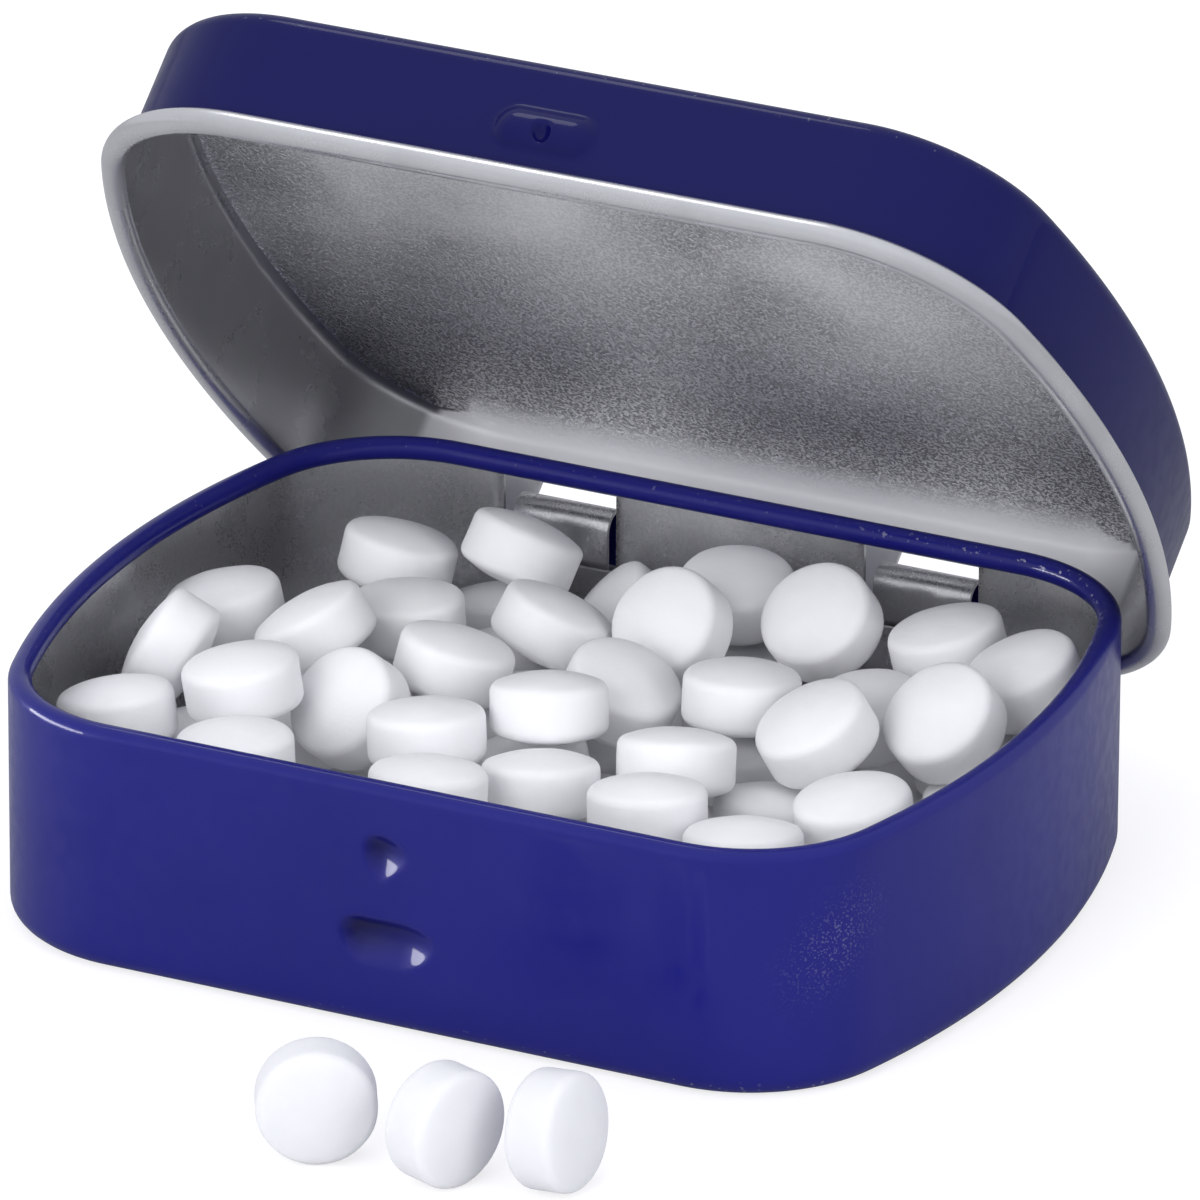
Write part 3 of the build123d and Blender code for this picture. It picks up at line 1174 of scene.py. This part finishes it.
@dataclass
class HingeHooks:
    """Two tongues of the body's own sheet that arch over and wrap under the lid's rim."""

    plan: Plan = field(default_factory=Plan)
    sheet: float = 0.25
    width: float = 6.3
    foot: float = 8.6
    sunk: float = 0.02
    top: float = 12.0
    reach: float = 1.05
    pin_height: float = 7.55
    pin_radius: float = 0.75
    play: float = 0.08
    wrap_angle: float = 140.0
    edge_round: float = 0.06
    arch_steps: int = 18
    wrap_steps: int = 16

    def centre_line(self) -> list[Facing]:
        """Middle of the sheet along the hook.

        Returns:
            Reach, height and the unit normal towards the face that was inside the tin.
        """
        half = self.sheet / 2
        wrap = self.pin_radius + self.play + half
        outer_leg = self.reach + self.pin_radius + self.play + half
        arch = (outer_leg + half) / 2
        arch_height = self.top - arch - half
        line = [(-half, z, -1.0, 0.0) for z in np.linspace(self.foot - self.sunk, arch_height, 6)[:-1]]
        for k in range(self.arch_steps + 1):
            angle = math.pi * (1 - k / self.arch_steps)
            cos, sin = math.cos(angle), math.sin(angle)
            line.append((arch - half + arch * cos, arch_height + arch * sin, cos, sin))
        line += [(outer_leg, z, 1.0, 0.0) for z in np.linspace(arch_height, self.pin_height, 5)[1:-1]]
        for k in range(self.wrap_steps + 1):
            angle = -math.radians(self.wrap_angle) * k / self.wrap_steps
            cos, sin = math.cos(angle), math.sin(angle)
            line.append((self.reach + wrap * cos, self.pin_height + wrap * sin, cos, sin))
        return line

    def strip(self, made: bmesh.types.BMesh, middle: float) -> None:
        """Add one hook.

        Args:
            made: Mesh to add to.
            middle: Middle of the hook from left to right.
        """
        left, right = middle - self.width / 2, middle + self.width / 2
        half, soft = self.sheet / 2, self.edge_round
        section = (
            (left + soft, half, Face.INSIDE),
            (right - soft, half, Face.CUT_EDGE),
            (right, half - soft, Face.CUT_EDGE),
            (right, soft - half, Face.CUT_EDGE),
            (right - soft, -half, Face.OUTSIDE),
            (left + soft, -half, Face.CUT_EDGE),
            (left, soft - half, Face.CUT_EDGE),
            (left, half - soft, Face.CUT_EDGE),
        )
        rings = []
        for reach, height, across, up in self.centre_line():
            base = self.plan.half_depth + reach
            spots = [Vector((x, base + across * rise, height + up * rise)) for x, rise, _ in section]
            rings.append([made.verts.new(spot * MM) for spot in spots])
        for first, second in zip(rings, rings[1:]):
            for k, (_, _, face) in enumerate(section):
                n = (k + 1) % len(section)
                new = made.faces.new((first[k], first[n], second[n], second[k]))
                new.material_index = face.value
                new.smooth = True
        for ring in (rings[0], rings[-1]):
            made.faces.new(ring).material_index = Face.CUT_EDGE.value

    def build(self, finishes: Sequence[Material]) -> Piece:
        """Build and dress both hooks as one piece.

        Args:
            finishes: Materials in the order of Face.

        Returns:
            The piece.
        """
        made = bmesh.new()
        for side in (-1, 1):
            self.strip(made, side * HOOK_OFFSET)
        piece = add_object("hinge_hooks", close_mesh("hinge_hooks", made), finishes)
        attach(piece, PRESS_BODY)
        return piece


@dataclass(frozen=True)
class MintPlace:
    """Middle and axis of one mint, in metres, read from the frame."""

    middle: Vector
    axis: Vector


@dataclass
class Mints:
    """The mints, laid on the places of the frame's solids by a node tree."""

    diameter: float = 7.0
    thickness: float = 4.3
    band: float = 2.8
    shoulder: float = 0.7
    segments: int = 48
    outline_steps: int = 8
    uneven: float = 0.00010
    lump_scale: float = 420.0
    seed: int = 7

    def places(self, node: str) -> list[MintPlace]:
        """Read the mints of one node of the frame.

        Args:
            node: Name of the node.

        Returns:
            Middle and axis of every mint in it.
        """
        work = bmesh.new()
        work.from_mesh(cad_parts[node].data)
        bmesh.ops.remove_doubles(work, verts=work.verts, dist=1e-7)
        seen: set[bmesh.types.BMVert] = set()
        found = []
        for start in work.verts:
            if start in seen:
                continue
            stack, faces = [start], set()
            seen.add(start)
            while stack:
                vert = stack.pop()
                faces.update(vert.link_faces)
                for edge in vert.link_edges:
                    other = edge.other_vert(vert)
                    if other not in seen:
                        seen.add(other)
                        stack.append(other)
            found.append(self.place_of(faces))
        work.free()
        return found

    def place_of(self, faces: Iterable[bmesh.types.BMFace]) -> MintPlace:
        """Find the middle and the axis of one closed shape.

        Args:
            faces: Its faces.

        Returns:
            Its middle, and the axis along which its spread differs most from the other two.
        """
        centres = np.array([tuple(face.calc_center_median()) for face in faces])
        weights = np.array([face.calc_area() for face in faces])
        middle = (centres * weights[:, None]).sum(axis=0) / weights.sum()
        offsets = centres - middle
        spread = (offsets * weights[:, None]).T @ offsets
        _, axes = np.linalg.eigh(spread)
        low, middling, high = np.linalg.eigvalsh(spread)
        odd = 0 if middling - low > high - middling else 2
        return MintPlace(Vector(middle.tolist()), Vector(axes[:, odd].tolist()))

    def outline(self) -> list[Pair]:
        """Half section of a mint, from the middle of the upper dome to the belt.

        Returns:
            Radius and height of each point, in millimetres.
        """
        radius, half, steps = self.diameter / 2, self.thickness / 2, self.outline_steps
        rise = half - self.band / 2
        dome = (radius * radius + rise * rise) / (2 * rise)
        foot = half - dome
        reach = radius - self.shoulder
        height = foot + math.sqrt((dome - self.shoulder) ** 2 - reach * reach)
        slope = math.atan2(height - foot, reach)
        across = [dome * math.cos(slope) * k / steps for k in range(steps)]
        points = [(r, foot + math.sqrt(dome * dome - r * r)) for r in across]
        for k in range(steps):
            angle = slope * (1 - k / (steps - 1))
            points.append((reach + self.shoulder * math.cos(angle), height + self.shoulder * math.sin(angle)))
        return points + [(radius, height / 2), (radius, 0.0)]

    def master(self) -> Piece:
        """Turn the outline into one mint about Z.

        Returns:
            A loose object that the node tree copies.
        """
        half = self.outline()
        profile = half + [(r, -z) for r, z in reversed(half[:-1])]
        angles = [2 * math.pi * k / self.segments for k in range(self.segments)]
        made = bmesh.new()
        top = made.verts.new((0.0, 0.0, profile[0][1] * MM))
        rings = [
            [made.verts.new((r * math.cos(a) * MM, r * math.sin(a) * MM, z * MM)) for a in angles]
            for r, z in profile[1:-1]
        ]
        bottom = made.verts.new((0.0, 0.0, profile[-1][1] * MM))
        for k in range(self.segments):
            n = (k + 1) % self.segments
            made.faces.new((top, rings[0][k], rings[0][n]))
            made.faces.new((bottom, rings[-1][n], rings[-1][k]))
            for upper, lower in zip(rings, rings[1:]):
                made.faces.new((upper[k], lower[k], lower[n], upper[n]))
        for face in made.faces:
            face.smooth = True
        return bpy.data.objects.new("mint_master", close_mesh("mint_master", made))

    def tree(self) -> bpy.types.NodeTree:
        """Node tree that copies the master to every place and makes each copy uneven.

        Returns:
            The tree, with inputs Mint, Uneven, Lump Scale, Seed and Finish.
        """
        tree = bpy.data.node_groups.new("lay_mints", "GeometryNodeTree")
        kinds = {
            "Geometry": "Geometry",
            "Mint": "Object",
            "Uneven": "Float",
            "Lump Scale": "Float",
            "Seed": "Int",
            "Finish": "Material",
        }
        for name, kind in kinds.items():
            tree.interface.new_socket(name, in_out="INPUT", socket_type="NodeSocket" + kind)
        tree.interface.new_socket("Geometry", in_out="OUTPUT", socket_type="NodeSocketGeometry")
        graph = NodeGraph(tree)
        given = graph.node("NodeGroupInput").outputs
        turn = graph.node("GeometryNodeInputNamedAttribute", data_type="FLOAT_VECTOR", Name="mint_turn")
        master = graph.node("GeometryNodeObjectInfo", Object=given["Mint"]).outputs["Geometry"]
        copies = graph.node("GeometryNodeInstanceOnPoints", Points=given["Geometry"], Instance=master)
        graph.fill(copies, Rotation=turn.outputs["Attribute"])
        shade = graph.node("FunctionNodeRandomValue", data_type="FLOAT", Seed=given["Seed"]).outputs[1]
        store = graph.node("GeometryNodeStoreNamedAttribute", data_type="FLOAT", domain="INSTANCE")
        graph.fill(store, Name="mint_shade", Geometry=copies.outputs["Instances"], Value=shade)
        real = graph.node("GeometryNodeRealizeInstances", Geometry=store.outputs["Geometry"])
        lumps = graph.node("ShaderNodeTexNoise", Detail=1.0, Scale=given["Lump Scale"]).outputs["Fac"]
        sink = graph.times(graph.times(lumps, given["Uneven"]), -1.0)
        normal = graph.node("GeometryNodeInputNormal").outputs["Normal"]
        push = graph.node("ShaderNodeVectorMath", normal, operation="SCALE", Scale=sink).outputs["Vector"]
        moved = graph.node("GeometryNodeSetPosition", Geometry=real.outputs["Geometry"], Offset=push)
        paint = graph.node("GeometryNodeSetMaterial", Geometry=moved.outputs["Geometry"])
        graph.fill(paint, Material=given["Finish"])
        graph.node("NodeGroupOutput", Geometry=paint.outputs["Geometry"])
        return tree

    def lay(
        self, name: str, nodes: Sequence[str], tree: bpy.types.NodeTree, master: Piece, finish: Material
    ) -> Piece:
        """Lay the mints of some nodes as one plain mesh.

        Args:
            name: Name of the piece.
            nodes: Nodes of the frame that it stands for.
            tree: The node tree.
            master: The mint that is copied.
            finish: Material of the mints.

        Returns:
            The piece.
        """
        places = [place for node in nodes for place in self.places(node)]
        points = bpy.data.meshes.new(name + "_places")
        points.from_pydata([place.middle for place in places], [], [])
        turns = points.attributes.new("mint_turn", "FLOAT_VECTOR", "POINT")
        for spot, place in zip(turns.data, places):
            spot.vector = place.axis.to_track_quat("Z", "Y").to_euler()
        seat = add_object(name + "_seat", points)
        modifier = seat.modifiers.new("lay_mints", "NODES")
        modifier.node_group = tree
        values = {
            "Mint": master,
            "Uneven": self.uneven,
            "Lump Scale": self.lump_scale,
            "Seed": self.seed,
            "Finish": finish,
        }
        for item in tree.interface.items_tree:
            if item.in_out == "INPUT" and item.name in values:
                modifier[item.identifier] = values[item.name]
        depsgraph = bpy.context.evaluated_depsgraph_get()
        mesh = bpy.data.meshes.new_from_object(seat.evaluated_get(depsgraph))
        bpy.data.objects.remove(seat)
        mesh.name = name
        piece = add_object(name, mesh)
        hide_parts(*nodes)
        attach(piece, PRESS_BODY)
        return piece

    def build(self, heap_mint_painted_light: Material, loose_mint_painted_shade: Material) -> list[Piece]:
        """Lay all the mints.

        Args:
            heap_mint_painted_light: Material of the mints in the tin.
            loose_mint_painted_shade: Material of the mints in front of it.

        Returns:
            The pieces: heap, lower heap and the mints in front of the tin.
        """
        # The heap gets the brighter copy, painted light for its shaded gaps; the loose mints get the darker
        # copy, painted shade, as more light falls on them.
        groups = {
            "heap_mints": ("mint_", heap_mint_painted_light),
            "lower_mints": ("mints_", heap_mint_painted_light),
            "loose_mints": ("loose_", loose_mint_painted_shade),
        }
        master, tree = self.master(), self.tree()
        pieces = []
        for piece, (start, finish) in groups.items():
            nodes = sorted(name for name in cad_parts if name.startswith(start))
            pieces.append(self.lay(piece, nodes, tree, master, finish))
        bpy.data.objects.remove(master)
        return pieces


# Studio, in metres and watts


@dataclass(frozen=True)
class Lamp:
    """Soft lamp that looks at the tin, or a card that only glossy surfaces show."""

    name: str
    place: Spot
    size: Pair
    power: float
    card: bool = False
    aim: Spot = (0.0, 0.0, 0.015)

    def build(self) -> None:
        """Place the lamp."""
        data = bpy.data.lights.new(self.name, "AREA")
        data.shape = "RECTANGLE"
        data.size, data.size_y = self.size
        data.energy = self.power
        lamp = add_object(self.name, data)
        lamp.visible_glossy = self.card
        lamp.visible_diffuse = not self.card
        lamp.visible_camera = False
        turn = (Vector(self.aim) - Vector(self.place)).to_track_quat("-Z", "Y").to_matrix().to_4x4()
        lamp.matrix_world = Matrix.Translation(self.place) @ turn


@dataclass
class Studio:
    """Camera at the photographed angle, pale floor and soft lamps."""

    target: Spot = (0.009284, -0.015, 0.02524)
    azimuth: float = 25.651
    elevation: float = 23.671
    roll: float = 0.288
    distance: float = 0.9
    lens: float = 477.7
    sensor: float = 36.0
    sky: Colour = (0.93, 0.95, 1.0, 1.0)
    world_low: float = 0.79
    world_high: float = 0.88
    mirror_low: float = 0.74
    mirror_high: float = 0.90
    floor_half: float = 3.0
    floor_seen: Colour = grey(0.4, 0.01)
    floor_glow: float = 0.7
    floor_lit: Colour = grey(0.8)
    floor_mirrored: Colour = grey(0.5)
    lamps: tuple[Lamp, ...] = (
        Lamp("key_lamp", (-0.1, -0.6, 0.3), (0.4, 0.4), 1.95),
        Lamp("side_lamp", (0.6, -0.2, 0.3), (0.3, 0.4), 0.9),
        Lamp("top_lamp", (-0.1, 0.1, 0.6), (0.5, 0.5), 0.42),
        Lamp("left_card", (-0.154, -0.092, 0.024), (0.14, 0.045), 0.36, True),
        Lamp("rear_card", (-0.12, 0.115, 0.285), (0.08, 0.08), 0.06, True),
    )

    def camera(self) -> None:
        """Place the camera."""
        data = bpy.data.cameras.new("camera")
        data.lens = self.lens
        data.sensor_width = self.sensor
        data.sensor_fit = "HORIZONTAL"
        data.clip_start, data.clip_end = 0.05, 10.0
        camera = add_object("camera", data)
        a, e = math.radians(self.azimuth), math.radians(self.elevation)
        back = Vector((math.sin(a) * math.cos(e), -math.cos(a) * math.cos(e), math.sin(e)))
        level = (-back).to_track_quat("-Z", "Y").to_matrix()
        turn = (level @ Matrix.Rotation(math.radians(self.roll), 3, "Z")).to_4x4()
        camera.matrix_world = Matrix.Translation(Vector(self.target) + back * self.distance) @ turn
        bpy.context.scene.camera = camera

    def floor(self) -> None:
        """Lay the floor: pale, with the tin's shadow, and white where nothing shades it."""
        mesh = bpy.data.meshes.new("floor")
        half = self.floor_half
        corners = [(-half, -half, 0.0), (half, -half, 0.0), (half, half, 0.0), (-half, half, 0.0)]
        mesh.from_pydata(corners, [], [(0, 1, 2, 3)])
        floor = add_object("floor", mesh)
        material = bpy.data.materials.new("pale_floor")
        material.use_nodes = True
        material.node_tree.nodes.clear()
        graph = NodeGraph(material.node_tree)
        seen, lit, mirrored = (
            graph.node("ShaderNodeBsdfDiffuse", Color=colour).outputs[0]
            for colour in (self.floor_seen, self.floor_lit, self.floor_mirrored)
        )
        glow = graph.node("ShaderNodeEmission", Strength=self.floor_glow).outputs[0]
        white = graph.node("ShaderNodeAddShader", seen, glow).outputs[0]
        path = graph.node("ShaderNodeLightPath").outputs
        straight = graph.math("MAXIMUM", path["Is Camera Ray"], path["Is Transmission Ray"])
        plain = graph.node("ShaderNodeMixShader", straight, lit, white).outputs[0]
        surface = graph.node("ShaderNodeMixShader", path["Is Glossy Ray"], plain, mirrored).outputs[0]
        graph.node("ShaderNodeOutputMaterial", Surface=surface)
        mesh.materials.append(material)

    def world(self) -> None:
        """White backdrop for what the camera sees, a soft grey studio for the rest."""
        world = bpy.data.worlds.new("studio")
        bpy.context.scene.world = world
        world.use_nodes = True
        world.node_tree.nodes.clear()
        graph = NodeGraph(world.node_tree)
        place = graph.node("ShaderNodeTexCoord").outputs["Generated"]
        height = graph.node("ShaderNodeSeparateXYZ", place).outputs["Z"]
        lighting = graph.ramp(height, 0.0, 0.8, self.world_low, self.world_high)
        mirrored = graph.ramp(height, 0.4, 0.95, self.mirror_low, self.mirror_high)
        path = graph.node("ShaderNodeLightPath").outputs
        strength = graph.mix(path["Is Glossy Ray"], lighting, mirrored, "FLOAT")
        soft = graph.node("ShaderNodeBackground", Color=self.sky, Strength=strength).outputs[0]
        white = graph.node("ShaderNodeBackground", Color=grey(1.0), Strength=1.0).outputs[0]
        surface = graph.node("ShaderNodeMixShader", path["Is Camera Ray"], soft, white).outputs[0]
        graph.node("ShaderNodeOutputWorld", Surface=surface)

    def show_card_in(self, piece: Piece) -> None:
        """Let the left card show in one piece only, so that the open lid's tin isn't washed out.

        Args:
            piece: The piece that mirrors the card.
        """
        mirrors = bpy.data.collections.new("card_mirrors")
        mirrors.objects.link(piece)
        bpy.data.objects["left_card"].light_linking.receiver_collection = mirrors

    def build(self) -> None:
        """Set up camera, floor, backdrop and lamps."""
        self.camera()
        self.floor()
        self.world()
        for lamp in self.lamps:
            lamp.build()
        bpy.context.scene.view_settings.view_transform = "Standard"


def tin_finishes(effects: Effects) -> tuple[tuple[Material, ...], tuple[Material, ...]]:
    """Build the lacquers and tinplates.

    Args:
        effects: Shared shader groups.

    Returns:
        The body's and the lid's materials, in the order of Face.
    """
    satin = {"bump": 0.02, "sparkle": 0.1}
    # The lid panel takes the painted light that grows with height at full share.
    lid_panel = {"bump": 0.7, "bump_depth": 0.00014, "sparkle": 0.75, "cloud_scale": 70.0}
    lid_panel |= {"smooth": 0.2, "rough": 0.34, "metallic": 0.97, "painted_light_haze": 1.0}
    # Darker copies of the bare tinplate for the lid's inner skirt and rolled rim: painted shade that dims
    # their reflections.
    painted_shade_skirt_greys = {"bright": grey(0.44, 0.01), "dull": grey(0.40, 0.01)}
    painted_shade_curl_greys = {"bright": grey(0.68, 0.02), "dull": grey(0.60, 0.02)}
    finishes = (
        LacquerFinish(name="blue_lacquer"),
        # The lid's lacquer is the same blue darkened: painted shade, as less light falls on the lid.
        LacquerFinish(name="painted_shade_lid_lacquer", depth=0.46, coat=0.32, shine=0.03),
        TinplateFinish(name="bare_tinplate", bright=grey(0.82, 0.01), dull=grey(0.66, 0.01)),
        TinplateFinish(name="skirt_tinplate_painted_shade", smooth=0.27, rough=0.32, **painted_shade_skirt_greys, **satin),
        TinplateFinish(name="cut_edge", smooth=0.3, rough=0.45, bump=0.15),
        TinplateFinish(name="panel_tinplate", bright=grey(0.98), dull=grey(0.24, 0.01), **lid_panel),
        TinplateFinish(name="curl_tinplate_painted_shade", smooth=0.26, rough=0.30, **painted_shade_curl_greys, **satin),
    )
    lacquer, painted_shade_lid_lacquer, bare, skirt, cut, panel, curl = (made.material(effects) for made in finishes)
    return (lacquer, bare, cut, bare, bare), (painted_shade_lid_lacquer, skirt, cut, panel, curl)


def main() -> None:
    """Build the studio and every piece in order."""
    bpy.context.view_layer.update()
    effects = Effects()
    body_finishes, lid_finishes = tin_finishes(effects)
    studio = Studio()
    studio.build()
    log.info("studio ready")
    makers = ((TinBody(), body_finishes), (Lid(), lid_finishes), (HingeHooks(), body_finishes))
    for maker, finishes in makers:
        piece = maker.build(finishes)
        log.info("%s: %d faces", piece.name, len(piece.data.polygons))
        if isinstance(maker, TinBody):
            studio.show_card_in(piece)
    # Two copies of one mint material: brighter for the heap, painted light that lifts its shaded gaps, and
    # darker for the loose mints in front, painted shade, as more light falls on them.
    heap_mint_painted_light = MintFinish(name="mint_heap_painted_light", white=grey(0.92, 0.02), chalk=grey(0.88, 0.02))
    loose_mint_painted_shade = MintFinish(name="mint_loose_painted_shade", white=grey(0.75, 0.02), chalk=grey(0.72, 0.03))
    for piece in Mints().build(heap_mint_painted_light.material(effects), loose_mint_painted_shade.material(effects)):
        log.info("%s: %d faces", piece.name, len(piece.data.polygons))


if __name__ == "__main__":
    main()
